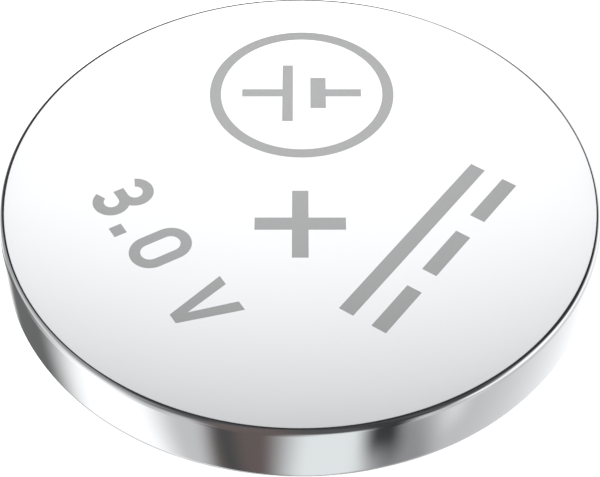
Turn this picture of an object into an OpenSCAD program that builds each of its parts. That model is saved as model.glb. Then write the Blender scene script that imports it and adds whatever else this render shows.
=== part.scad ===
// Lithium coin cell: a crimped round cell lying on its negative face, positive face up.
// The origin is the centre of the negative contact face, and the cell's axis is Z.

/* [Cell] */
// Outer diameter of the cell
cell_d = 24.5; // [20:0.1:30]
// Overall height, from contact face to contact face
cell_h = 3.0; // [2.6:0.1:5]

/* [Positive can] */
// Thickness of the can's sheet
can_t = 0.25; // [0.15:0.01:0.3]
// Outer radius of the coined corner round the positive face
can_corner = 0.26; // [0.1:0.01:0.35]
// Inner radius of that corner
can_corner_in = 0.05; // [0.02:0.01:0.2]
// Inner radius of the bend that closes the can over the gasket
crimp_bend = 0.25; // [0.05:0.01:0.3]
// Flat run of the crimped edge past its bend
crimp_lip = 0.53; // [0.4:0.01:0.9]
// Height of the crimped edge above the negative contact face
crimp_clear = 0.08; // [0.02:0.01:0.2]

/* [Negative cap] */
// Thickness of the cap's sheet
cap_t = 0.25; // [0.15:0.01:0.3]
// Inner radius of the two bends of the step
step_bend = 0.1; // [0.05:0.01:0.15]
// Slope of the step, in degrees
step_slope = 53; // [45:1:65]
// Gap between the gasket's lip and the head of the step
step_gap = 0.25; // [0.1:0.01:0.5]
// Inner radius of the bend between the shoulder and the skirt
skirt_bend = 0.05; // [0.02:0.01:0.2]

/* [Gasket] */
// Thickness between the can's wall and the cap's skirt
seal_wall = 0.3; // [0.2:0.01:0.5]
// Thickness between the can's crimped edge and the cap's shoulder
seal_lip = 0.27; // [0.15:0.01:0.4]
// Thickness between the skirt's edge and the can
seal_base = 0.45; // [0.3:0.01:0.6]
// Thickness of the wall inside the skirt
seal_inner = 0.8; // [0.4:0.05:1]
// Width of the gasket that shows past the can's crimped edge
seal_show = 0.2; // [0.05:0.01:0.4]

/* [Anode] */
// Height of the lithium disc above the cap's shoulder
anode_proud = 0; // [0:0.01:0.2]
// Gap between the lithium disc and the foot of the cap's step
anode_gap = 0.6; // [0.2:0.05:1.5]

/* [Separator] */
// Thickness of the separator
separator_t = 0.2; // [0.1:0.01:0.3]
// Gap between the separator and the cap's skirt
separator_gap = 0.15; // [0.05:0.01:0.3]

/* [Cathode] */
// Thickness of the support ring's sheet
ring_t = 0.15; // [0.1:0.01:0.25]
// Inner radius of the support ring's bend
ring_bend = 0.1; // [0.05:0.01:0.2]
// Flat width of the support ring's foot
ring_foot = 0.6; // [0.3:0.05:1.5]
// Height of the pellet that the support ring leaves bare
ring_short = 0.3; // [0.1:0.05:0.5]
// Gap between the support ring and the gasket
ring_gap = 0.5; // [0.2:0.05:1]

/* [Hidden] */
$fn = 128;

// The can: its outer radius, its bore, the inside of its flat face and its crimped edge
can_r = cell_d / 2;
can_bore = can_r - can_t;
can_ceiling = cell_h - can_t;
crimp_top = crimp_clear + can_t;
crimp_r = can_r - can_t - crimp_bend - crimp_lip;

// The cap: its skirt stands in the gasket, and its shoulder lies on the gasket's lip
skirt_r = can_bore - seal_wall;
skirt_bore = skirt_r - cap_t;
skirt_edge = can_ceiling - seal_base;
shoulder_low = crimp_top + seal_lip;
shoulder_top = shoulder_low + cap_t;
lip_r = crimp_r - seal_show;

// The step: two equal and opposite bends, with a straight slope between them
step_bends = cap_t + 2 * step_bend;
step_run = (shoulder_low - step_bends * (1 - cos(step_slope))) / sin(step_slope);
step_w = step_bends * sin(step_slope) + step_run * cos(step_slope);
step_head = lip_r - step_gap;
contact_r = step_head - step_w;

// The filling, from the cap upwards
anode_r = contact_r - anode_gap;
anode_top = shoulder_top + anode_proud;
separator_r = skirt_bore - separator_gap;
separator_top = anode_top + separator_t;
seal_bore = skirt_bore - seal_inner;
ring_r = seal_bore - ring_gap;
ring_low = separator_top + ring_short;
pellet_r = ring_r - ring_t;

// Part of a flat ring about a centre, from one angle through a sweep of up to 90 degrees
module sector(centre, inner, outer, start, sweep) {
  reach = 2 * outer;
  wedge = [for (turn = [0, sweep / 2, sweep]) reach * [cos(start + turn), sin(start + turn)]];
  translate(centre)
    intersection() {
      difference() {
        circle(outer);
        if (inner > 0) circle(inner);
      }
      polygon(concat([[0, 0]], wedge));
    }
}

// Sheet metal in section, from the left with its outer face down. Each run is
// [length, turn, inner radius]: a straight stretch, then a bend that turns left if positive
module sheet(thick, runs) {
  length = runs[0][0];
  square([length, thick]);
  if (len(runs) > 1) {
    turn = runs[0][1];
    inner = runs[0][2];
    hub = turn > 0 ? thick + inner : -inner;
    start = turn > 0 ? -90 : 90 + turn;
    sector([length, hub], inner, inner + thick, start, abs(turn));
    translate([length, hub])
      rotate(turn)
        translate([0, -hub])
          sheet(thick, [for (i = [1:len(runs) - 1]) runs[i]]);
  }
}

// Solid section from the axis out to r and from low to high, with its two outer corners rounded
module round_block(r, low, high, low_round, high_round) {
  translate([0, low]) square([r - low_round, low_round]);
  sector([r - low_round, low + low_round], 0, low_round, -90, 90);
  translate([0, low + low_round]) square([r, high - low - low_round - high_round]);
  sector([r - high_round, high - high_round], 0, high_round, 0, 90);
  translate([0, high - high_round]) square([r - high_round, high_round]);
}

// Space inside the closed can, which the gasket fills at its edge
module can_cavity() {
  round_block(can_bore, crimp_top, can_ceiling, crimp_bend, can_corner_in);
}

// Drawn cup of stainless steel, mouth down, its edge crimped flat over the gasket
module positive_can() {
  color("silver")
    rotate_extrude()
      difference() {
        round_block(can_r, crimp_clear, cell_h, crimp_bend + can_t, can_corner);
        can_cavity();
        translate([0, crimp_clear]) square([crimp_r, can_t]);
      }
}

// Stepped dish of stainless steel, with the negative contact below and a skirt round its edge
module negative_cap() {
  skirt_round = skirt_bend + cap_t;
  shoulder_w = skirt_r - skirt_round - step_head;
  skirt_h = skirt_edge - shoulder_low - skirt_round;
  color("gainsboro")
    rotate_extrude()
      sheet(cap_t, [
        [contact_r, step_slope, step_bend],
        [step_run, -step_slope, step_bend],
        [shoulder_w, 90, skirt_bend],
        [skirt_h]
      ]);
}

// Moulded plastic ring with a groove for the skirt, its lip folded in under the shoulder
module sealing_gasket() {
  skirt_round = skirt_bend + cap_t;
  color("dimgray")
    rotate_extrude() {
      difference() {
        can_cavity();
        translate([0, crimp_top]) square([lip_r, seal_lip]);
        translate([0, shoulder_low]) square([skirt_r - skirt_round, skirt_round]);
        sector([skirt_r - skirt_round, shoulder_low + skirt_round], 0, skirt_round, -90, 90);
        translate([0, shoulder_low + skirt_round])
          square([skirt_r, skirt_edge - shoulder_low - skirt_round]);
        translate([0, skirt_edge]) square([seal_bore, seal_base]);
      }
      translate([seal_bore, separator_top]) square([seal_inner, skirt_edge - separator_top]);
    }
}

// Disc of lithium pressed into the cap's dish
module lithium_anode() {
  color("lightslategray")
    translate([0, 0, cap_t])
      cylinder(h = anode_top - cap_t, r = anode_r);
}

// Disc of porous felt, its rim held between the cap's shoulder and the gasket's inner wall
module separator() {
  color("white")
    translate([0, 0, anode_top])
      cylinder(h = separator_t, r = separator_r);
}

// Ring of stainless steel sheet that holds the pellet's edge, its foot against the can
module cathode_ring() {
  bend_round = ring_bend + ring_t;
  color("lightgray")
    rotate_extrude()
      translate([ring_r - bend_round - ring_foot, can_ceiling])
        mirror([0, 1])
          sheet(ring_t, [
            [ring_foot, 90, ring_bend],
            [can_ceiling - bend_round - ring_low]
          ]);
}

// Pressed disc of manganese dioxide, stepped and rounded to fit inside its ring
module cathode_pellet() {
  bend_round = ring_bend + ring_t;
  color([0.15, 0.15, 0.16])
    rotate_extrude() {
      translate([0, separator_top])
        square([pellet_r, can_ceiling - bend_round - separator_top]);
      translate([0, can_ceiling - bend_round]) square([pellet_r - ring_bend, ring_bend]);
      sector([pellet_r - ring_bend, can_ceiling - bend_round], 0, ring_bend, 0, 90);
      translate([0, can_ceiling - ring_t]) square([ring_r - bend_round - ring_foot, ring_t]);
    }
}

positive_can();
negative_cap();
sealing_gasket();
lithium_anode();
separator();
cathode_ring();
cathode_pellet();
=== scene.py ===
"""Looks of a round lithium coin cell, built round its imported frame.

The cell lies on its negative cap with its positive face up. The can, the cap and the
gasket are turned surfaces, worked out from the sizes of their sheet and mouldings, and
each replaces the solid of the same name. The pieces sealed inside keep their own meshes
and get a finish. The marks on the positive face are thin plates that lie on it.

Sizes in the classes are in millimetres and angles in degrees. A mesh is brought to metres
when it is made.
"""

import logging
import math
from dataclasses import dataclass, field
from enum import Enum
from typing import Any, Optional, Union

import bpy
import numpy as np
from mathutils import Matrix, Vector


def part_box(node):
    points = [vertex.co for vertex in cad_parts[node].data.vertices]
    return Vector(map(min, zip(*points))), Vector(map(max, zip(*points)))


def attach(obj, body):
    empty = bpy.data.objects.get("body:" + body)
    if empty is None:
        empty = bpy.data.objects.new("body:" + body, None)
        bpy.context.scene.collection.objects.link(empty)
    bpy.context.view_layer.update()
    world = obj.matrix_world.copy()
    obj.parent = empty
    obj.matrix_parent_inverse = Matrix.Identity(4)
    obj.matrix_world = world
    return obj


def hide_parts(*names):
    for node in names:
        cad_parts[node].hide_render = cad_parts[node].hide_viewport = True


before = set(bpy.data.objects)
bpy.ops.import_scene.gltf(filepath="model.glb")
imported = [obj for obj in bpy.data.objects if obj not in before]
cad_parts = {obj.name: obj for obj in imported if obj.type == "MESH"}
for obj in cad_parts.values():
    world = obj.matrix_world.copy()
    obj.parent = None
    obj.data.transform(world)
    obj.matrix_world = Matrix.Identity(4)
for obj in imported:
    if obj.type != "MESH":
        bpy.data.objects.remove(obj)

log = logging.getLogger("coin_cell")

MM = 0.001
BODY = "root"
TURNS = 512

Pair = tuple[float, float]
Triple = tuple[float, float, float]
Colour = Triple
Piece = bpy.types.Object
Material = bpy.types.Material


class Slot(Enum):
    """The record's material slot names for the new pieces, which are passed along but never applied."""

    CAN = "can_steel"
    CAP = "cap_steel"
    GASKET = "gasket_plastic"


def low_corner(node: str) -> Vector:
    """Lowest corner of a frame node, in millimetres."""
    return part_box(node)[0] / MM


def high_corner(node: str) -> Vector:
    """Highest corner of a frame node, in millimetres."""
    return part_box(node)[1] / MM


def arc_points(centre: Pair, radius: float, start: float, end: float, steps: int = 24) -> np.ndarray:
    """Points of a circle from one angle in degrees to another: centre + radius * (cos a, sin a)."""
    a = np.radians(np.linspace(start, end, steps + 1))
    return np.array(centre) + radius * np.stack([np.cos(a), np.sin(a)], axis=1)


class Section:
    """An outline in the plane of radius and height, walked with its outside on the left.

    It is kept as stretches, each an array with one row per point: radius, height and the
    two parts of the direction that faces outwards there, so that an arc shades as a true
    arc, and a flat as a true flat. Each stretch starts at the pen, where the last one ended.
    """

    def __init__(self, start: Pair) -> None:
        """Put the pen at the first point."""
        self.pen = np.array(start, float)
        self.stretches: list[np.ndarray] = []

    def _add(self, points: np.ndarray, facing: np.ndarray) -> None:
        """Add a stretch and move the pen to its end."""
        self.stretches.append(np.hstack([points, facing]))
        self.pen = points[-1]

    def line(self, end: Pair, steps: int = 1) -> None:
        """Walk straight on: pen + t * (end - pen), for t from 0 to 1.

        The outward direction is the walking direction turned a quarter to the left.

        Args:
            end: Radius and height of the last point.
            steps: Number of equal parts.
        """
        way = np.array(end, float) - self.pen
        t = np.linspace(0.0, 1.0, steps + 1)[:, None]
        facing = np.array([-way[1], way[0]]) / np.linalg.norm(way)
        self._add(self.pen + t * way, np.tile(facing, (steps + 1, 1)))

    def arc(self, centre: Pair, turn: float, steps: int) -> None:
        """Walk round a centre: centre + radius * (cos a, sin a).

        The pen gives the radius and the first angle. The outside is away from the centre
        on a turn to the right, and towards it on a turn to the left.

        Args:
            centre: Radius and height of the centre.
            turn: Angle in degrees, to the left if positive.
            steps: Number of equal parts.
        """
        spoke = self.pen - np.array(centre, float)
        start = math.degrees(math.atan2(spoke[1], spoke[0]))
        ray = arc_points((0.0, 0.0), 1.0, start, start + turn, steps)
        self._add(np.array(centre, float) + np.linalg.norm(spoke) * ray, -np.sign(turn) * ray)

    def bend(self, at: Pair, radius: float, side: int = -1, steps: int = 1, round_steps: int = 4) -> None:
        """Walk straight to a square corner and round it by a quarter of a circle.

        The arc starts one radius before the corner, and its centre is one radius aside.

        Args:
            at: The sharp corner.
            radius: Radius of the rounding.
            side: 1 for a turn to the left, -1 for a turn to the right.
            steps: Number of equal parts of the straight stretch.
            round_steps: Number of equal parts of the arc.
        """
        corner = np.array(at, float)
        way = (corner - self.pen) / np.linalg.norm(corner - self.pen)
        self.line(corner - radius * way, steps)
        aside = side * np.array([-way[1], way[0]])
        self.arc(self.pen + radius * aside, 90.0 * side, round_steps)


def linked(name: str, mesh: bpy.types.Mesh, material: Material) -> Piece:
    """Give a mesh its material, and make it an object of the scene.

    Args:
        name: Name of the object.
        mesh: Its mesh, with places in metres.
        material: The material of all its faces.

    Returns:
        The new object.
    """
    mesh.materials.append(material)
    mesh.update()
    piece = bpy.data.objects.new(name, mesh)
    bpy.context.scene.collection.objects.link(piece)
    return piece


def turned(name: str, section: Section, material: Material) -> Piece:
    """Turn a section about the Z axis into a closed mesh.

    A point at radius r, height h and angle a is (r * cos a, r * sin a, h). The grid runs
    along the section and round the axis. A point on the axis becomes one shared vertex.
    Each corner of each face gets the section's own outward direction at that point.

    Args:
        name: Name of the object and its mesh.
        section: The outline, whose ends meet or both lie on the axis.
        material: The material of all its faces.

    Returns:
        The new object, linked to the scene.
    """
    points = np.concatenate([s[:-1, :2] for s in section.stretches] + [section.stretches[-1][-1:, :2]])
    first = np.concatenate([s[:-1, 2:] for s in section.stretches])
    second = np.concatenate([s[1:, 2:] for s in section.stretches])
    loop = np.allclose(points[0], points[-1])
    rows = len(points) - 1 if loop else len(points)
    polar = points[:rows, 0] < 1e-9
    sizes = np.where(polar, 1, TURNS)
    base = np.concatenate([[0], np.cumsum(sizes)[:-1]])
    step = np.arange(TURNS)
    index = base[:, None] + np.where(polar[:, None], 0, step[None, :])
    if loop:
        index = np.vstack([index, index[:1]])

    angle = step * (2.0 * math.pi / TURNS)
    spin = np.stack([np.cos(angle), np.sin(angle)], axis=1)
    ring = np.empty((rows, TURNS, 3))
    ring[..., :2] = points[:rows, 0][:, None, None] * spin[None]
    ring[..., 2] = points[:rows, 1][:, None]
    keep = np.ones((rows, TURNS), bool)
    keep[polar, 1:] = False
    places = ring[keep] * MM

    here, there = index[:-1], index[1:]
    quad = np.stack([here, there, np.roll(there, -1, 1), np.roll(here, -1, 1)], axis=-1)

    def lean(pair: np.ndarray, shift: int) -> np.ndarray:
        """Outward direction of each step of the section, turned to each angle."""
        upright = np.broadcast_to(pair[:, None, 1:], (len(pair), TURNS, 1))
        return np.concatenate([pair[:, None, :1] * np.roll(spin, -shift, axis=0), upright], axis=-1)

    facing = np.stack([lean(first, 0), lean(second, 0), lean(second, 1), lean(first, 1)], axis=2)
    starts, ends = quad[:, 0, 0] == quad[:, 0, 3], quad[:, 0, 1] == quad[:, 0, 2]
    faces: list[list[int]] = []
    normals = []
    # A step that starts or ends on the axis gives triangles, and any other four-sided faces
    for chosen, corners in ((~(starts | ends), [0, 1, 2, 3]), (starts, [0, 1, 2]), (ends, [0, 1, 3])):
        faces += quad[chosen][..., corners].reshape(-1, len(corners)).tolist()
        normals.append(facing[chosen][..., corners, :].reshape(-1, 3))
    mesh = bpy.data.meshes.new(name)
    mesh.from_pydata(places.tolist(), [], faces)
    mesh.polygons.foreach_set("use_smooth", np.ones(len(mesh.polygons), bool))
    mesh.normals_split_custom_set(np.concatenate(normals).tolist())
    return linked(name, mesh, material)


def stand_in(piece: Piece, node: str, slot: Slot) -> Piece:
    """Put a piece in the place of a frame node, and let it ride on the cell.

    Args:
        piece: The new piece.
        node: The frame node that it replaces.
        slot: Its material slot; not used.

    Returns:
        The same piece.
    """
    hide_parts(node)
    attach(piece, BODY)
    return piece


def box_points(low: Pair, high: Pair) -> np.ndarray:
    """The four corners of an upright rectangle, counter-clockwise."""
    return np.array([low, (high[0], low[1]), high, (low[0], high[1])], float)


@dataclass(frozen=True)
class Place:
    """A place on the positive face: a point, and the direction that a mark runs in."""

    x: float
    y: float
    degrees: float = 0.0

    def put(self, points: np.ndarray) -> np.ndarray:
        """Turn points by the angle and move them to the place."""
        c, s = math.cos(math.radians(self.degrees)), math.sin(math.radians(self.degrees))
        return points @ np.array([[c, s], [-s, c]]) + np.array([self.x, self.y])


@dataclass
class Plates:
    """Flat plates of one height at one place on the face, gathered into one mesh."""

    low: float
    high: float
    at: Place
    places: list[np.ndarray] = field(default_factory=list)
    faces: list[list[int]] = field(default_factory=list)

    def _rise(self, outlines: list[tuple[np.ndarray, float]]) -> list[np.ndarray]:
        """Add one row of vertices per outline.

        Args:
            outlines: Each outline with its height.

        Returns:
            The indices of each row's vertices.
        """
        start = sum(len(p) for p in self.places)
        rows = []
        for outline, height in outlines:
            self.places.append(np.column_stack([self.at.put(outline), np.full(len(outline), height)]))
            rows.append(start + np.arange(len(outline)))
            start += len(outline)
        return rows

    def _walls(self, rows: list[np.ndarray]) -> None:
        """Join each row to the next with four-sided faces, all the way round."""
        for a, b in zip(rows[:-1], rows[1:]):
            self.faces += np.stack([a, np.roll(a, -1), np.roll(b, -1), b], axis=1).tolist()

    def solid(self, outline: np.ndarray) -> None:
        """Add a plate with no hole: its outline at two heights, walls between, and two lids.

        Args:
            outline: The corners, counter-clockwise seen from above.
        """
        low, high = self._rise([(outline, self.low), (outline, self.high)])
        self._walls([low, high])
        self.faces += [high.tolist(), low[::-1].tolist()]

    def band(self, outer: np.ndarray, inner: np.ndarray) -> None:
        """Add a closed band between two outlines with the same number of points.

        Args:
            outer: The outer outline, counter-clockwise seen from above.
            inner: The inner outline, likewise.
        """
        rows = self._rise([
            (outer, self.low), (outer, self.high), (inner, self.high), (inner, self.low),
        ])
        self._walls([*rows, rows[0]])

    def build(self, name: str, material: Material) -> Piece:
        """Make the gathered plates one object.

        Args:
            name: Name of the object and its mesh.
            material: The material of all its faces.

        Returns:
            The new object.
        """
        mesh = bpy.data.meshes.new(name)
        mesh.from_pydata((np.concatenate(self.places) * MM).tolist(), [], self.faces)
        return linked(name, mesh, material)


Number = Union[float, int, "Value"]


class Value:
    """A number worked out over a surface. Operators on it add Math nodes to its tree."""

    def __init__(self, tree: "Tree", socket: bpy.types.NodeSocket) -> None:
        """Wrap an output of the tree."""
        self.tree = tree
        self.socket = socket

    def _math(self, operation: str, *values: Number) -> "Value":
        """Add one Math node on the given values."""
        return self.tree.node("ShaderNodeMath", {"operation": operation}, dict(enumerate(values)))

    def __add__(self, other: Number) -> "Value":
        """Sum."""
        return self._math("ADD", self, other)

    __radd__ = __add__

    def __sub__(self, other: Number) -> "Value":
        """Difference."""
        return self._math("SUBTRACT", self, other)

    def __rsub__(self, other: Number) -> "Value":
        """Difference from a plain number."""
        return self._math("SUBTRACT", other, self)

    def __mul__(self, other: Number) -> "Value":
        """Product."""
        return self._math("MULTIPLY", self, other)

    __rmul__ = __mul__

    def __truediv__(self, other: Number) -> "Value":
        """Quotient."""
        return self._math("DIVIDE", self, other)

    def __rtruediv__(self, other: Number) -> "Value":
        """Quotient of a plain number."""
        return self._math("DIVIDE", other, self)

    def __pow__(self, other: Number) -> "Value":
        """Power."""
        return self._math("POWER", self, other)

    def at_least(self, other: Number) -> "Value":
        """The larger of the two."""
        return self._math("MAXIMUM", self, other)

    def at_most(self, other: Number) -> "Value":
        """The smaller of the two."""
        return self._math("MINIMUM", self, other)

    def arc_sine(self) -> "Value":
        """Angle in radians that has this sine."""
        return self._math("ARCSINE", self)

    def angle_from(self, other: "Value") -> "Value":
        """Angle in radians of the point (other, self) from the first axis."""
        return self._math("ARCTAN2", self, other)

    def around(self, half_turn: float) -> "Value":
        """The same angle, brought between minus and plus half a turn."""
        return self._math("WRAP", self, half_turn, -half_turn)

    def rise(self, low: Number, high: Number) -> "Value":
        """0 below low, 1 above high, and a smooth step between."""
        settings = {"interpolation_type": "SMOOTHSTEP"}
        return self.tree.node("ShaderNodeMapRange", settings, {0: self, 1: low, 2: high})


class Tree:
    """A node tree that is filled through one method."""

    def __init__(self, tree: bpy.types.NodeTree) -> None:
        """Take an empty tree."""
        self.tree = tree
        tree.nodes.clear()

    def node(
        self, kind: str, settings: Optional[dict[str, Any]] = None,
        inputs: Optional[dict[Any, Any]] = None, output: Any = 0,
    ) -> Value:
        """Add a node, set it up, and feed its inputs.

        Args:
            kind: Blender's name of the node type.
            settings: Attributes to set first.
            inputs: Input names or numbers, with a constant or a Value for each.
            output: Name or number of the output to return.

        Returns:
            The chosen output as a Value.
        """
        node = self.tree.nodes.new(kind)
        for key, setting in (settings or {}).items():
            setattr(node, key, setting)
        for key, value in (inputs or {}).items():
            socket = node.inputs[key]
            if isinstance(value, Value):
                self.tree.links.new(value.socket, socket)
            else:
                socket.default_value = value
        return Value(self, node.outputs[output] if node.outputs else None)

    def parts(self, vector: Value) -> tuple[Value, Value, Value]:
        """The three parts of a vector."""
        split = self.node("ShaderNodeSeparateXYZ", {}, {0: vector}).socket.node
        return Value(self, split.outputs[0]), Value(self, split.outputs[1]), Value(self, split.outputs[2])

    def place(self) -> Value:
        """Place on the object, in metres."""
        return self.node("ShaderNodeTexCoord", output="Object")

    def vector(self, x: Number, y: Number, z: Number) -> Value:
        """A vector of three numbers."""
        return self.node("ShaderNodeCombineXYZ", {}, {0: x, 1: y, 2: z})

    def noise(self, vector: Value, scale: float, detail: float = 3.0, roughness: float = 0.5) -> Value:
        """Smooth noise from 0 to 1."""
        inputs = {"Vector": vector, "Scale": scale, "Detail": detail, "Roughness": roughness}
        return self.node("ShaderNodeTexNoise", {}, inputs)

    def streaks(self, vector: Value, scale: Triple, detail: float = 3.0, roughness: float = 0.5) -> Value:
        """Noise with its own scale along each axis."""
        scaled = self.node("ShaderNodeVectorMath", {"operation": "MULTIPLY"}, {0: vector, 1: scale})
        return self.noise(scaled, 1.0, detail, roughness)

    def blend(self, share: Number, first: Any, second: Any) -> Value:
        """A colour between two colours, by a share from 0 to 1."""
        inputs = {0: share, 6: self._paint(first), 7: self._paint(second)}
        return self.node("ShaderNodeMix", {"data_type": "RGBA"}, inputs, output=2)

    @staticmethod
    def _paint(colour: Any) -> Any:
        """A colour with alpha, or the Value as it is."""
        return colour if isinstance(colour, Value) else (*colour, 1.0)

    def bump(self, height: Value, relief: float) -> Value:
        """Normals of a surface raised by a height from 0 to 1, with the full height given."""
        return self.node("ShaderNodeBump", {}, {"Strength": 1.0, "Distance": relief * MM, "Height": height})


def toned(colour: Colour, amount: float) -> Colour:
    """A colour with each part scaled by the same amount."""
    return tuple(amount * part for part in colour)


class Finish:
    """A node material with one Principled shader, whose inputs a finish works out."""

    name: str

    def inputs(self, tree: Tree, place: Value) -> dict[str, Any]:
        """The shader's inputs, from the place on the object in metres."""
        raise NotImplementedError

    def make(self) -> Material:
        """Build the material.

        Returns:
            The material, with one Principled shader.
        """
        material = bpy.data.materials.new(self.name)
        material.use_nodes = True
        tree = Tree(material.node_tree)
        shader = tree.node("ShaderNodeBsdfPrincipled", {}, self.inputs(tree, tree.place()))
        tree.node("ShaderNodeOutputMaterial", {}, {"Surface": shader})
        return material


@dataclass(frozen=True)
class BrightCan(Finish):
    """Bright stainless can: a hazy rolled face, and a wall burnished by the drawing die."""

    can: "Can"
    steel: Colour = (0.86, 0.868, 0.878)
    face_haze: float = 0.18
    face_rough: float = 0.075
    face_blend: float = 0.03
    face_depth: Pair = (0.02, 0.01)
    wall_rough: float = 0.09
    rub_blend: Pair = (0.15, 0.1)
    grain: float = 0.02
    relief: float = 0.00012
    name: str = "bright_can"

    def inputs(self, tree: Tree, place: Value) -> dict[str, Any]:
        """Blend the face, which is the region inside the coined corner, with the wall.

        The face's grain runs along X, as the strip was rolled. The wall has faint upright
        draw lines, and the bend at the crimp is rubbed a little duller by the closing tool.

        Args:
            tree: The material's tree.
            place: Place on the can, in metres.

        Returns:
            The shader's inputs.
        """
        can = self.can
        x, y, z = tree.parts(place)
        radius = (x * x + y * y) ** 0.5
        inner = 1.0 - radius.rise((can.face_r - self.face_blend) * MM, can.face_r * MM)
        deep, shallow = self.face_depth
        on_face = inner * z.rise((can.high - deep) * MM, (can.high - shallow) * MM)
        rolled = tree.streaks(place, (900.0, 24000.0, 900.0), 4.0, 0.6)
        cloud = tree.streaks(place, (160.0, 260.0, 160.0), 2.0)
        around = tree.vector(x / radius * 420.0, y / radius * 420.0, z * 700.0)
        drawn = tree.noise(around, 1.0, 3.0, 0.55)
        foot, (under, over) = can.low + can.crimp_out, self.rub_blend
        rubbed = 1.0 - z.rise((foot - under) * MM, (foot + over) * MM)
        rough_face = self.face_rough + self.grain * (rolled - 0.5) + 0.03 * (cloud - 0.5)
        rough_wall = self.wall_rough + 0.03 * (drawn - 0.5) + 0.08 * rubbed
        grain = rolled * on_face + drawn * (1.0 - on_face)
        return {
            "Base Color": tree.blend(cloud * 0.3, self.steel, toned(self.steel, 0.97)),
            "Metallic": 1.0 - self.face_haze * on_face,
            "Roughness": rough_face * on_face + rough_wall * (1.0 - on_face),
            "Normal": tree.bump(grain, self.relief),
        }


@dataclass(frozen=True)
class EtchedMark(Finish):
    """Marks burnt into the bright face: the same steel, darker and duller."""

    tone: Colour = (0.385, 0.387, 0.389)
    haze: float = 0.18
    rough: float = 0.16
    relief: float = 0.0004
    name: str = "etched_mark"

    def inputs(self, tree: Tree, place: Value) -> dict[str, Any]:
        """Fine burnt grain on dark steel.

        Args:
            tree: The material's tree.
            place: Place on the piece, in metres.

        Returns:
            The shader's inputs.
        """
        grain = tree.noise(place, 30000.0, 2.0)
        return {
            "Base Color": tree.blend(grain, toned(self.tone, 0.96), toned(self.tone, 1.04)),
            "Metallic": 1.0 - self.haze,
            "Roughness": self.rough + 0.06 * (grain - 0.5),
            "Normal": tree.bump(grain, self.relief),
        }


@dataclass(frozen=True)
class SatinCap(Finish):
    """Satin stainless cap with fine lines brushed along X."""

    steel: Colour = (0.74, 0.74, 0.735)
    rough: float = 0.30
    relief: float = 0.0012
    name: str = "satin_cap"

    def inputs(self, tree: Tree, place: Value) -> dict[str, Any]:
        """Streaks for the brushed lines, and broad noise for the sheet.

        Args:
            tree: The material's tree.
            place: Place on the piece, in metres.

        Returns:
            The shader's inputs.
        """
        lines = tree.streaks(place, (500.0, 16000.0, 4000.0), 4.0, 0.65)
        broad = tree.noise(place, 220.0, 2.0)
        return {
            "Base Color": tree.blend(lines, toned(self.steel, 0.93), self.steel),
            "Metallic": 0.97 - 0.02 * broad,
            "Roughness": self.rough + 0.10 * (lines - 0.5) + 0.05 * (broad - 0.5),
            "Normal": tree.bump(lines, self.relief),
        }


@dataclass(frozen=True)
class GasketPlastic(Finish):
    """Dark moulded polypropylene with a faint waxy sheen."""

    tone: Colour = (0.045, 0.048, 0.052)
    rough: float = 0.42
    relief: float = 0.003
    name: str = "gasket_plastic"

    def inputs(self, tree: Tree, place: Value) -> dict[str, Any]:
        """A fine moulded grain over a slow change of tone.

        Args:
            tree: The material's tree.
            place: Place on the piece, in metres.

        Returns:
            The shader's inputs.
        """
        fine = tree.noise(place, 9000.0, 3.0)
        slow = tree.noise(place, 300.0, 2.0)
        return {
            "Base Color": tree.blend(slow, self.tone, toned(self.tone, 1.5)),
            "Roughness": self.rough + 0.1 * (fine - 0.5),
            "Normal": tree.bump(fine, self.relief),
        }


@dataclass(frozen=True)
class LithiumMetal(Finish):
    """Dull lithium with a patchy grey tarnish."""

    fresh: Colour = (0.60, 0.61, 0.63)
    tarnish: Colour = (0.32, 0.33, 0.36)
    relief: float = 0.004
    name: str = "lithium_metal"

    def inputs(self, tree: Tree, place: Value) -> dict[str, Any]:
        """Tarnish patches by broad noise, and rolling marks by streaks.

        Args:
            tree: The material's tree.
            place: Place on the piece, in metres.

        Returns:
            The shader's inputs.
        """
        patch = tree.noise(place, 350.0, 5.0, 0.6).rise(0.42, 0.66)
        rolled = tree.streaks(place, (300.0, 5000.0, 300.0))
        return {
            "Base Color": tree.blend(patch, self.fresh, self.tarnish),
            "Metallic": 0.95 - 0.45 * patch,
            "Roughness": 0.40 + 0.25 * patch + 0.08 * (rolled - 0.5),
            "Normal": tree.bump(rolled, self.relief),
        }


@dataclass(frozen=True)
class SeparatorFelt(Finish):
    """White porous felt of matted fibres."""

    light: Colour = (0.86, 0.86, 0.85)
    shade: Colour = (0.66, 0.66, 0.65)
    relief: float = 0.02
    name: str = "separator_felt"

    def inputs(self, tree: Tree, place: Value) -> dict[str, Any]:
        """Fibres, as two crossed sets of streaks.

        Args:
            tree: The material's tree.
            place: Place on the piece, in metres.

        Returns:
            The shader's inputs.
        """
        across = tree.streaks(place, (1500.0, 12000.0, 4000.0), 4.0, 0.6)
        along = tree.streaks(place, (12000.0, 1500.0, 4000.0), 4.0, 0.6)
        fibre = across.at_least(along)
        return {
            "Base Color": tree.blend(fibre.rise(0.4, 0.7), self.shade, self.light),
            "Roughness": 0.95 - 0.1 * fibre,
            "Normal": tree.bump(fibre, self.relief),
        }


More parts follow.
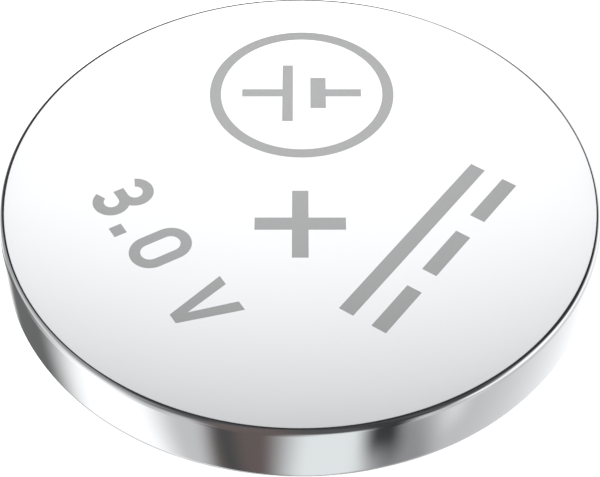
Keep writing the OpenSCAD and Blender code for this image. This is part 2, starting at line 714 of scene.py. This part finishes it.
@dataclass(frozen=True)
class PressedPowder(Finish):
    """Pressed black powder with a fine crumb."""

    dark: Colour = (0.012, 0.012, 0.013)
    light: Colour = (0.045, 0.045, 0.047)
    relief: float = 0.01
    name: str = "pressed_powder"

    def inputs(self, tree: Tree, place: Value) -> dict[str, Any]:
        """A crumb by fine noise, and pores where a coarser noise dips.

        Args:
            tree: The material's tree.
            place: Place on the piece, in metres.

        Returns:
            The shader's inputs.
        """
        crumb = tree.noise(place, 14000.0, 4.0, 0.65)
        pores = tree.noise(place, 5000.0, 2.0).rise(0.35, 0.5)
        return {
            "Base Color": tree.blend(crumb, self.dark, self.light),
            "Roughness": 0.9 - 0.12 * crumb,
            "Normal": tree.bump(crumb * pores, self.relief),
        }


@dataclass(frozen=True)
class PlainSteel(Finish):
    """Plain stainless sheet, as cut and bent."""

    steel: Colour = (0.66, 0.665, 0.67)
    relief: float = 0.001
    name: str = "plain_steel"

    def inputs(self, tree: Tree, place: Value) -> dict[str, Any]:
        """Faint bending lines round the ring.

        Args:
            tree: The material's tree.
            place: Place on the piece, in metres.

        Returns:
            The shader's inputs.
        """
        lines = tree.streaks(place, (700.0, 700.0, 15000.0))
        return {
            "Base Color": tree.blend(lines, toned(self.steel, 0.94), self.steel),
            "Metallic": 0.98 - 0.02 * lines,
            "Roughness": 0.26 + 0.1 * (lines - 0.5),
            "Normal": tree.bump(lines, self.relief),
        }


@dataclass(frozen=True)
class PaleTable(Finish):
    """The pale light table under the cell, which glows a little."""

    dim: Colour = (0.93, 0.93, 0.93)
    pale: Colour = (0.95, 0.95, 0.95)
    glow: float = 0.5
    name: str = "pale_floor"

    def inputs(self, tree: Tree, place: Value) -> dict[str, Any]:
        """Faint specks on a glowing sheet.

        Args:
            tree: The material's tree.
            place: Place on the piece, in metres.

        Returns:
            The shader's inputs.
        """
        return {
            "Base Color": tree.blend(tree.noise(place, 900.0, 2.0), self.dim, self.pale),
            "Roughness": 0.9,
            "Emission Color": (1.0, 1.0, 1.0, 1.0),
            "Emission Strength": self.glow,
        }


@dataclass
class Can:
    """The positive can: a flat face, a coined corner, a straight wall and a crimped edge."""

    corner: float = 0.26
    corner_in: float = 0.05
    crimp_out: float = 0.40
    crimp_bend: float = 0.25
    crimp_lip: float = 0.53
    edge_round: float = 0.03
    rim_strip: float = 0.05
    lean: float = 2.0
    radius: float = field(init=False)
    low: float = field(init=False)
    high: float = field(init=False)
    sheet: float = field(init=False)

    def __post_init__(self) -> None:
        """Read the can's outer sizes from the frame, and its sheet from the gasket inside it."""
        self.radius = high_corner("positive_can").x
        self.low = low_corner("positive_can").z
        self.high = high_corner("positive_can").z
        self.sheet = self.high - high_corner("sealing_gasket").z

    @property
    def face_r(self) -> float:
        """Radius of the flat face."""
        return self.radius - self.corner

    @property
    def mouth_r(self) -> float:
        """Radius of the opening that the crimp leaves."""
        return self.radius - self.sheet - self.crimp_bend - self.crimp_lip

    def section(self) -> Section:
        """The can's section, from the middle of its face to the middle of its ceiling.

        The wall is a very flat arc, as drawing and crimping leave it: its ends lean in by
        a small angle, and the corner above and the bend below run into it smoothly. The
        arc's radius follows from the height that the three arcs share. With e = (1 - sin
        lean) / cos lean, it is (height - (corner + crimp) * e) divided by twice
        (sin lean - (1 - cos lean) * e).

        Returns:
            The section.
        """
        lean = math.radians(self.lean)
        ease = (1.0 - math.sin(lean)) / math.cos(lean)
        sink = 1.0 - math.cos(lean)
        spare = self.high - self.low - (self.corner + self.crimp_out) * ease
        reach = spare / (2.0 * (math.sin(lean) - sink * ease))
        crown = reach * sink
        corner_r = (self.corner - crown) / math.cos(lean)
        foot_r = (self.crimp_out - crown) / math.cos(lean)
        middle = self.high - corner_r * (1.0 - math.sin(lean)) - reach * math.sin(lean)
        bore, ceiling, inside = self.radius - self.sheet, self.high - self.sheet, self.low + self.sheet
        outline = Section((0.0, self.high))
        outline.line((self.face_r - self.rim_strip, self.high), 6)
        outline.line((self.face_r, self.high))
        outline.arc((self.face_r, self.high - corner_r), self.lean - 90.0, 16)
        outline.arc((self.radius - reach, middle), -2.0 * self.lean, 14)
        outline.arc((self.radius - self.crimp_out, self.low + foot_r), self.lean - 90.0, 18)
        outline.bend((self.mouth_r, self.low), self.edge_round, steps=2)
        outline.bend((self.mouth_r, inside), self.edge_round)
        outline.bend((bore, inside), self.crimp_bend, 1, 2, 8)
        outline.bend((bore, ceiling), self.corner_in, 1, 2)
        outline.line((0.0, ceiling), 2)
        return outline

    def build(self, finish: BrightCan) -> Piece:
        """Make the can in the place of its frame node."""
        return stand_in(turned("can_shell", self.section(), finish.make()), "positive_can", Slot.CAN)


@dataclass
class Cap:
    """The negative cap: a contact face, a step, a shoulder and a skirt, all of one sheet."""

    step_bend: float = 0.1
    step_slope: float = 53.0
    skirt_bend: float = 0.05
    step_gap: float = 0.25
    seal_show: float = 0.2
    edge_round: float = 0.03
    sheet: float = field(init=False)
    skirt_r: float = field(init=False)
    skirt_edge: float = field(init=False)
    shoulder_low: float = field(init=False)

    def __post_init__(self) -> None:
        """Read the cap's sizes from its own node and from the lithium that lies in it."""
        self.sheet = low_corner("lithium_anode").z
        self.skirt_r = high_corner("negative_cap").x
        self.skirt_edge = high_corner("negative_cap").z
        self.shoulder_low = high_corner("lithium_anode").z - self.sheet

    def section(self, mouth_r: float) -> Section:
        """The cap's section, from the middle of its outer face round to the middle of its inner one.

        The step is two equal bends with a straight slope between them. The slope is as
        long as the rise leaves: (rise - bends * (1 - cos slope)) / sin slope, where bends
        is the sum of the two bends' radii at one face of the sheet.

        Args:
            mouth_r: Radius of the can's mouth, which places the head of the step.

        Returns:
            The section.
        """
        slope = math.radians(self.step_slope)
        wide, tight = self.step_bend + self.sheet, self.step_bend
        bends = wide + tight
        run = (self.shoulder_low - bends * (1.0 - math.cos(slope))) / math.sin(slope)
        width = bends * math.sin(slope) + run * math.cos(slope)
        head = mouth_r - self.seal_show - self.step_gap
        low, bore = self.shoulder_low, self.skirt_r - self.sheet
        foot_hub = np.array([head - width, wide])
        head_hub = np.array([head, low - tight])
        leaf = np.array([math.sin(slope), -math.cos(slope)])
        outline = Section((0.0, self.sheet))
        outline.line((head - width, self.sheet), 4)
        outline.arc(foot_hub, self.step_slope, 6)
        outline.line(head_hub - wide * leaf, 2)
        outline.arc(head_hub, -self.step_slope, 8)
        outline.bend((bore, low + self.sheet), self.skirt_bend, 1)
        outline.bend((bore, self.skirt_edge), self.edge_round, steps=2)
        outline.bend((self.skirt_r, self.skirt_edge), self.edge_round)
        outline.bend((self.skirt_r, low), self.skirt_bend + self.sheet, -1, 2, 10)
        outline.line((head, low))
        outline.arc(head_hub, self.step_slope, 6)
        outline.line(foot_hub + wide * leaf, 2)
        outline.arc(foot_hub, -self.step_slope, 10)
        outline.line((0.0, 0.0), 6)
        return outline

    def build(self, finish: SatinCap, mouth_r: float) -> Piece:
        """Make the cap in the place of its frame node, its step placed from the can's mouth."""
        return stand_in(turned("cap_dish", self.section(mouth_r), finish.make()), "negative_cap", Slot.CAP)


@dataclass
class Gasket:
    """The sealing ring: an outer wall, a lip under the cap's shoulder, a base and an inner wall."""

    corner_in: float = 0.05
    crimp_bend: float = 0.25
    seal_inner: float = 0.8
    lip_round: float = 0.08
    radius: float = field(init=False)
    low: float = field(init=False)
    high: float = field(init=False)
    separator_top: float = field(init=False)

    def __post_init__(self) -> None:
        """Read the ring's outer sizes and the separator's top from the frame."""
        self.radius = high_corner("sealing_gasket").x
        self.low = low_corner("sealing_gasket").z
        self.high = high_corner("sealing_gasket").z
        self.separator_top = high_corner("separator").z

    def section(self, cap: Cap, lip_r: float) -> Section:
        """The ring's section, walked all the way round.

        Args:
            cap: The cap, whose skirt stands in the groove.
            lip_r: Radius of the lip's free edge.

        Returns:
            The section.
        """
        skirt_in = cap.skirt_r - cap.sheet
        bore = skirt_in - self.seal_inner
        outline = Section((bore, self.high))
        outline.bend((self.radius, self.high), self.corner_in, steps=2)
        outline.bend((self.radius, self.low), self.crimp_bend, -1, 2, 8)
        outline.bend((lip_r, self.low), self.lip_round, -1, 2, 6)
        outline.line((lip_r, cap.shoulder_low))
        outline.bend((cap.skirt_r, cap.shoulder_low), cap.skirt_bend + cap.sheet, 1, 2, 8)
        outline.line((cap.skirt_r, cap.skirt_edge), 2)
        outline.line((skirt_in, cap.skirt_edge))
        outline.line((skirt_in, self.separator_top), 2)
        outline.line((bore, self.separator_top))
        outline.line((bore, self.high), 2)
        return outline

    def build(self, finish: GasketPlastic, cap: Cap, lip_r: float) -> Piece:
        """Make the gasket round the cap's skirt, in the place of its frame node."""
        ring = turned("gasket_ring", self.section(cap, lip_r), finish.make())
        return stand_in(ring, "sealing_gasket", Slot.GASKET)


@dataclass
class FaceMarks:
    """Marks on the positive face: a plus, a ringed cell symbol, a rating and a current sign.

    A figure's u is the place of its middle along its row.
    """

    face: float
    sunk: float = 0.01
    proud: float = 0.004
    stroke: float = 0.45
    bold: float = 0.66
    plus_at: Place = Place(0.0, -1.84)
    plus_arm: float = 1.83
    ring_at: Place = Place(0.06, 5.86)
    ring_out: float = 3.94
    ring_in: float = 3.46
    rating_at: Place = Place(-5.35, -3.45, -59.4)
    current_at: Place = Place(5.15, -3.0, 54.5)
    glyph_high: float = 2.6
    glyph_wide: float = 1.7
    three_u: float = -3.6
    three_open: float = 155.0
    three_bar: float = 0.45
    point_u: float = -2.05
    point_half: float = 0.27
    nought_u: float = -0.35
    volt_u: float = 3.15
    volt_wider: float = 0.15
    volt_foot: float = 0.55
    volt_slant: float = 1.08
    volt_notch: float = 0.62
    symbol_long: float = 1.75
    symbol_short: float = 0.95
    symbol_gap: float = 0.75
    symbol_lead: float = 2.55
    bar_long: float = 9.6
    bar_gap: float = 1.05
    bar_apart: float = 1.5

    def plates(self, at: Place) -> Plates:
        """An empty set of plates at the height of the face, at one place on it."""
        return Plates(self.face - self.sunk, self.face + self.proud, at)

    def plus(self) -> Plates:
        """The plus sign: three corners of one arm, repeated at each quarter turn.

        Returns:
            The plate of the sign.
        """
        half = self.bold / 2.0
        arm = np.array([(self.plus_arm, -half), (self.plus_arm, half), (half, half)])
        plates = self.plates(self.plus_at)
        plates.solid(np.concatenate([Place(0.0, 0.0, 90.0 * k).put(arm) for k in range(4)]))
        return plates

    def ring(self) -> Plates:
        """The plain ring: a band between two circles.

        Returns:
            The band.
        """
        plates = self.plates(self.ring_at)
        circles = [arc_points((0.0, 0.0), r, 0.0, 360.0, 180)[:-1] for r in (self.ring_out, self.ring_in)]
        plates.band(*circles)
        return plates

    def cell_symbol(self) -> Plates:
        """The drawn symbol of a cell: a long thin plate and a short thick one, each with a lead.

        Returns:
            The plates of the symbol.
        """
        plates = self.plates(self.ring_at)
        half, inner, lead = self.stroke / 2.0, self.symbol_gap / 2.0, self.symbol_lead
        sides = ((0.0, self.symbol_short, self.bold), (180.0, self.symbol_long, self.stroke))
        for turn, tall, thick in sides:
            back = inner + thick
            tee = np.array([
                (inner, -tall), (back, -tall), (back, -half), (lead, -half),
                (lead, half), (back, half), (back, tall), (inner, tall),
            ])
            plates.solid(Place(0.0, 0.0, turn).put(tee))
        return plates

    def figure_three(self) -> np.ndarray:
        """The figure 3: two bowls that meet in a short bar.

        The outline runs up the outside of both bowls, which cross in a notch on the
        right, and back down their inside, past the bar that points left.

        Returns:
            The outline, counter-clockwise.
        """
        u, open_at, bar, half = self.three_u, self.three_open, self.three_bar, self.stroke / 2.0
        bowl = (self.glyph_high - self.stroke) / 4.0
        reach = bowl + half
        notch = math.degrees(math.asin(bowl / reach))
        low, high = (u, -bowl), (u, bowl)
        return np.concatenate([
            arc_points(low, reach, -open_at, notch),
            arc_points(high, reach, -notch, open_at)[1:],
            arc_points(high, bowl - half, open_at, -90.0),
            [(u - bar, half), (u - bar, -half)],
            arc_points(low, bowl - half, 90.0, -open_at),
        ])

    def figure_nought(self) -> list[np.ndarray]:
        """The figure 0: two half circles joined by straight sides.

        Returns:
            The outer and the inner outline, counter-clockwise.
        """
        u, outer_r = self.nought_u, self.glyph_wide / 2.0
        straight = self.glyph_high / 2.0 - outer_r
        return [
            np.concatenate([
                arc_points((u, straight), radius, 0.0, 180.0),
                arc_points((u, -straight), radius, 180.0, 360.0),
            ])
            for radius in (outer_r, outer_r - self.stroke)
        ]

    def letter_v(self) -> np.ndarray:
        """The unit sign V: two slanted strokes cut level at the top and at the foot.

        Half its foot and the level width of its slanted strokes are counted in strokes
        of a figure. The notch between them is set by a share of the height at which
        their inner sides would meet.

        Returns:
            The outline, counter-clockwise.
        """
        u, top, foot = self.volt_u, self.glyph_high / 2.0, -self.glyph_high / 2.0
        wide, flat = self.glyph_wide / 2.0 + self.volt_wider, self.stroke * self.volt_foot
        slant = self.stroke * self.volt_slant
        inner_foot = foot + self.glyph_high * slant / (wide - flat + slant) * self.volt_notch
        return np.array([
            (u - flat, foot), (u + flat, foot), (u + wide, top), (u + wide - slant, top),
            (u, inner_foot), (u - wide + slant, top), (u - wide, top),
        ])

    def rating(self) -> Plates:
        """The rating 3.0 V, spaced along its row.

        Returns:
            The plates of its signs.
        """
        plates = self.plates(self.rating_at)
        half, foot = self.point_half, -self.glyph_high / 2.0
        plates.solid(self.figure_three())
        plates.solid(box_points((self.point_u - half, foot), (self.point_u + half, foot + 2.0 * half)))
        plates.band(*self.figure_nought())
        plates.solid(self.letter_v())
        return plates

    def current(self) -> Plates:
        """The direct current sign: one long bar over three short ones.

        Returns:
            The plates of the sign.
        """
        plates = self.plates(self.current_at)
        half, length = self.bold / 2.0, self.bar_long
        dash = (length - 2.0 * self.bar_gap) / 3.0
        upper, lower = self.bar_apart / 2.0, -self.bar_apart / 2.0
        bars = [(-length / 2.0, length, upper)]
        bars += [(-length / 2.0 + k * (dash + self.bar_gap), dash, lower) for k in range(3)]
        for start, long, level in bars:
            plates.solid(box_points((start, level - half), (start + long, level + half)))
        return plates

    def build(self, finish: EtchedMark) -> list[Piece]:
        """Make every mark and let it ride on the cell.

        Args:
            finish: The finish of the marks.

        Returns:
            The marks' objects.
        """
        material = finish.make()
        drawn = {
            "plus_mark": self.plus(),
            "ring_mark": self.ring(),
            "cell_mark": self.cell_symbol(),
            "rating_mark": self.rating(),
            "current_mark": self.current(),
        }
        pieces = []
        for name, plates in drawn.items():
            piece = plates.build(name, material)
            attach(piece, BODY)
            pieces.append(piece)
        return pieces


@dataclass
class Filling:
    """The sealed pieces, which keep their frame meshes."""

    finishes: dict[str, Finish] = field(default_factory=lambda: {
        "lithium_anode": LithiumMetal(),
        "separator": SeparatorFelt(),
        "cathode_ring": PlainSteel(),
        "cathode_pellet": PressedPowder(),
    })

    def dress(self) -> list[Piece]:
        """Give each sealed piece its finish.

        Returns:
            The frame nodes that were dressed.
        """
        nodes = [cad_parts[name] for name in self.finishes]
        for node, finish in zip(nodes, self.finishes.values()):
            node.data.materials.clear()
            node.data.materials.append(finish.make())
        return nodes


@dataclass(frozen=True)
class Card:
    """A card or flag of the studio, as bright metal sees it, by direction in degrees.

    Azimuth is measured from +Y towards +X, and height from the horizon. Half is half the
    card's width, and each soft value half the width of an edge's blend. A card with a bow
    stands the further round, and one with a flare the wider, the further it is from the
    horizon: both grow with the square of the height, up to the height called reach.
    """

    tone: Colour
    azimuth: float = 0.0
    half: float = 360.0
    soft: float = 1.0
    left_soft: Optional[float] = None
    low: float = -180.0
    low_soft: float = 1.0
    high: float = 180.0
    high_soft: float = 1.0
    bow: float = 0.0
    flare: float = 0.0
    reach: float = 58.0

    def share(self, azimuth: Value, height: Value) -> Value:
        """How far the card covers what is behind it, from 0 to 1, in each direction.

        It is the product of four smooth steps: at the low edge, at the high edge, and at
        the same distance to either side of the middle. The left side can be softer.

        Args:
            azimuth: Azimuth of the direction.
            height: Height of the direction.

        Returns:
            The share.
        """
        above = height.rise(self.low - self.low_soft, self.low + self.low_soft)
        below = 1.0 - height.rise(self.high - self.high_soft, self.high + self.high_soft)
        square = (height * height).at_most(self.reach ** 2)
        aside = (azimuth - self.azimuth - self.bow * square).around(180.0)
        flared = self.flare * square
        left_soft = self.soft if self.left_soft is None else self.left_soft
        right = 1.0 - (aside - flared).rise(self.half - self.soft, self.half + self.soft)
        left = (aside + flared).rise(-self.half - left_soft, -self.half + left_soft)
        return above * below * left * right


@dataclass
class Studio:
    """Floor, light, camera and what bright metal mirrors.

    The mirrored softbox, its glow and its frame have their sizes on the level plane that
    sky() lays out.
    """

    aim: Triple = (-0.010, -2.651, 3.0)
    camera_at: Triple = (-0.010, -50.945, 55.345)
    lens: float = 107.6
    sensor: float = 36.0
    floor_half: float = 1500.0
    fill: float = 1.5
    lamp_watts: float = 3.0
    lamp_size: float = 700.0
    lamp_at: Triple = (0.0, 100.0, 600.0)
    softbox_at: float = 0.975
    softbox_r: float = 0.251
    softbox_edge: float = 0.004
    glow_line: float = 0.956
    glow_curve: float = 0.9
    glow_most: float = 1.0
    glow_fall: Pair = (4.9, 1.41)
    glow_climb: Pair = (9.0, 1.8)
    glow_least: float = 0.1
    glow_blue: float = 1.006
    frame_r: float = 0.70
    frame_soft: float = 0.08
    frame_foot: Pair = (0.05, 0.1)
    frame_tone: Colour = (0.018, 0.018, 0.019)
    paper: Colour = (1.18, 1.18, 1.185)

    def walls(self) -> tuple[Card, ...]:
        """The walls, each over the ones before: the right, the front, the left and the back.

        A narrow bright card stands low on the right, and a dark one and a grey one at the back.

        Returns:
            The cards.
        """
        return (
            Card((0.575, 0.575, 0.585), azimuth=122.0, half=52.0, soft=50.0, high=4.0, high_soft=13.0),
            Card((0.855, 0.89, 0.895), azimuth=178.0, half=24.0, soft=10.0, high=20.0, high_soft=10.0),
            Card((0.78, 0.78, 0.79), azimuth=119.0, half=5.0, soft=6.0, low=-52.0, low_soft=3.0, high=-18.0),
            Card((0.60, 0.60, 0.61), azimuth=-141.0, half=17.0, soft=10.0),
            Card((0.31, 0.31, 0.32), azimuth=-88.0, half=62.0, soft=20.0, low=25.0, low_soft=34.0),
            Card((0.38, 0.38, 0.39), azimuth=-57.0, half=9.0, soft=6.0, low=6.0, low_soft=12.0),
            Card((0.10, 0.10, 0.102), azimuth=-10.0, half=20.0, soft=9.0, low=-12.0, low_soft=22.0),
            Card((0.25, 0.25, 0.255), azimuth=20.0, half=8.0, soft=5.0, low=4.0, low_soft=20.0),
        )

    def ceiling(self) -> tuple[Card, ...]:
        """The dark ceiling: a card overhead, and cards that bring its edge lower.

        Its edge is lower on the right than at the back, and lowest by the camera.

        Returns:
            The cards.
        """
        return (
            Card((0.062, 0.063, 0.065), low=63.0, low_soft=4.0),
            Card((0.038, 0.038, 0.040), azimuth=44.0, half=34.0, soft=8.0, low=29.0, low_soft=12.0),
            Card((0.055, 0.055, 0.057), azimuth=97.0, half=24.0, soft=12.0, low=42.0, low_soft=11.0),
            Card((0.055, 0.055, 0.057), azimuth=5.0, half=34.0, soft=6.0, low=57.0, low_soft=5.0),
            Card((0.070, 0.070, 0.072), azimuth=120.0, half=14.0, soft=8.0, low=29.0, low_soft=14.0),
            Card((0.055, 0.055, 0.057), azimuth=150.0, half=22.0, soft=8.0, low=9.0, low_soft=20.0),
            Card((0.088, 0.090, 0.092), azimuth=180.0, half=30.0, soft=10.0, low=1.0, low_soft=19.0),
            Card((0.090, 0.091, 0.093), azimuth=-140.0, half=18.0, soft=12.0, low=28.0, low_soft=30.0),
        )

    def flags(self) -> tuple[Card, ...]:
        """The flags, which are laid over the walls and the ceiling.

        Two dark ones stand at the back on the left. A grey one that spreads downwards, a
        dark one, a brown one and a narrow one stand by the camera. A pale one and a brown
        one lie low at the back, and a bowed grey one stands on the left.

        Returns:
            The cards.
        """
        return (
            Card(
                (0.040, 0.040, 0.042), azimuth=-25.0, half=16.0, soft=7.0,
                low=-2.0, low_soft=20.0, high=49.0, high_soft=6.0,
            ),
            Card(
                (0.060, 0.060, 0.062), azimuth=-40.0, half=8.0, soft=4.0,
                low=3.0, low_soft=12.0, high=50.0, high_soft=7.0,
            ),
            Card(
                (0.31, 0.31, 0.32), azimuth=136.0, half=-16.5, soft=8.0,
                high=-30.0, high_soft=10.0, flare=0.009,
            ),
            Card(
                (0.042, 0.042, 0.044), azimuth=152.4, half=7.4, soft=5.0,
                low=-56.0, low_soft=5.0, bow=-0.0018,
            ),
            Card((0.137, 0.110, 0.107), azimuth=-165.6, half=15.3, soft=6.0, left_soft=10.0, bow=0.0025),
            Card((0.068, 0.070, 0.070), azimuth=-151.0, half=3.5, soft=5.0, high=-30.0, high_soft=10.0),
            Card((0.62, 0.62, 0.63), azimuth=0.0, half=88.0, soft=12.0, high=-62.0, high_soft=4.0),
            Card((0.137, 0.110, 0.107), azimuth=20.0, half=16.0, soft=8.0, high=-62.0, high_soft=4.0),
            Card(
                (0.150, 0.153, 0.150), azimuth=-79.7, half=14.9, soft=8.0, left_soft=17.0,
                high=12.0, high_soft=16.0, bow=0.0115, flare=0.0035,
            ),
        )

    def sky(self, tree: Tree) -> Value:
        """What the bright metal sees in each direction.

        Every card is laid over the ones before it. The softbox and its wide dark frame
        come last. They are round and hang level overhead, so they are laid out on a level
        plane at height 1, where a direction (x, y, z) lands at (u, v) = (x / z, y / z).
        The box's glow is most - fall * f ^ fall_power + climb * c ^ climb_power, where f
        is what line - v + curve * u * u has above 0, and c what v - line has above 0.

        Args:
            tree: The world's tree.

        Returns:
            The colour in each direction.
        """
        x, y, z = tree.parts(tree.node("ShaderNodeTexCoord", output="Generated"))
        height = z.arc_sine() * math.degrees(1.0)
        azimuth = x.angle_from(y) * math.degrees(1.0)
        colour: Any = self.paper
        for card in (*self.walls(), *self.ceiling(), *self.flags()):
            colour = tree.blend(card.share(azimuth, height), colour, card.tone)
        level = z.at_least(self.frame_foot[0])
        u, v = x / level, y / level
        away = v - self.softbox_at
        reach = (u * u + away * away) ** 0.5
        surround = 1.0 - reach.rise(self.frame_r - self.frame_soft, self.frame_r + self.frame_soft)
        colour = tree.blend(surround * z.rise(*self.frame_foot), colour, self.frame_tone)
        box = 1.0 - reach.rise(self.softbox_r - self.softbox_edge, self.softbox_r + self.softbox_edge)
        (fall, fall_power), (climb, climb_power) = self.glow_fall, self.glow_climb
        before = (self.glow_line - v + self.glow_curve * u * u).at_least(0.0)
        behind = (v - self.glow_line).at_least(0.0)
        glow = self.glow_most - fall * before ** fall_power + climb * behind ** climb_power
        glow = glow.at_least(self.glow_least)
        return tree.blend(box, colour, tree.vector(glow, glow, glow * self.glow_blue))

    def light_world(self) -> None:
        """Light the scene: the sky of cards for mirror rays, and plain white for the rest."""
        world = bpy.data.worlds.new("studio")
        world.use_nodes = True
        tree = Tree(world.node_tree)
        mirror = tree.node("ShaderNodeLightPath", output="Is Glossy Ray")
        colour = tree.blend(mirror, (self.fill,) * 3, self.sky(tree))
        backdrop = tree.node("ShaderNodeBackground", {}, {"Color": colour})
        tree.node("ShaderNodeOutputWorld", {}, {"Surface": backdrop})
        bpy.context.scene.world = world

    def lay_floor(self) -> None:
        """Lay a light table at the cell's lowest point, which no bright metal sees.

        It glows a little, so that no shadow shows.
        """
        half = self.floor_half * MM
        mesh = bpy.data.meshes.new("floor")
        corners = [(*corner, 0.0) for corner in box_points((-half, -half), (half, half))]
        mesh.from_pydata(corners, [], [(0, 1, 2, 3)])
        floor = linked("floor", mesh, PaleTable().make())
        floor.visible_glossy = False

    def hang(self, name: str, thing: bpy.types.ID, at: Triple, aim: Triple) -> Piece:
        """Put a lamp or a camera at a place, turned to another place.

        Args:
            name: Name of the object.
            thing: The lamp's or the camera's own data.
            at: Its place.
            aim: What it points at.

        Returns:
            The new object, linked to the scene.
        """
        hung = bpy.data.objects.new(name, thing)
        hung.location = Vector(at) * MM
        hung.rotation_euler = (Vector(at) - Vector(aim)).to_track_quat("Z", "Y").to_euler()
        bpy.context.scene.collection.objects.link(hung)
        return hung

    def hang_softbox(self) -> None:
        """Hang one large soft light above the cell, which no bright metal sees."""
        lamp = bpy.data.lights.new("softbox", "AREA")
        lamp.shape = "DISK"
        lamp.size = self.lamp_size * MM
        lamp.energy = self.lamp_watts
        self.hang("softbox", lamp, self.lamp_at, (0.0, 0.0, 0.0)).visible_glossy = False

    def set_camera(self) -> None:
        """Set the camera at the photograph's viewing angle."""
        lens = bpy.data.cameras.new("camera")
        lens.sensor_width = self.sensor
        lens.lens = self.lens
        lens.clip_start = 0.001
        lens.clip_end = 10.0
        bpy.context.scene.camera = self.hang("camera", lens, self.camera_at, self.aim)

    def build(self) -> None:
        """Set up the camera, the floor and the light, and keep colours as they are lit."""
        self.set_camera()
        self.lay_floor()
        self.hang_softbox()
        self.light_world()
        bpy.context.scene.view_settings.view_transform = "Standard"


def report(*pieces: Piece) -> None:
    """Log each piece with its number of faces."""
    for piece in pieces:
        log.info("%s: %d faces", piece.name, len(piece.data.polygons))


def main() -> None:
    """Build the studio, the cell's outer pieces, its marks and its filling."""
    logging.basicConfig(level=logging.INFO, format="%(message)s")
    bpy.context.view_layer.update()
    Studio().build()
    can, cap, gasket = Can(), Cap(), Gasket()
    report(can.build(BrightCan(can)))
    report(cap.build(SatinCap(), can.mouth_r))
    report(gasket.build(GasketPlastic(), cap, can.mouth_r - cap.seal_show))
    report(*FaceMarks(can.high).build(EtchedMark()))
    report(*Filling().dress())


if __name__ == "__main__":
    main()
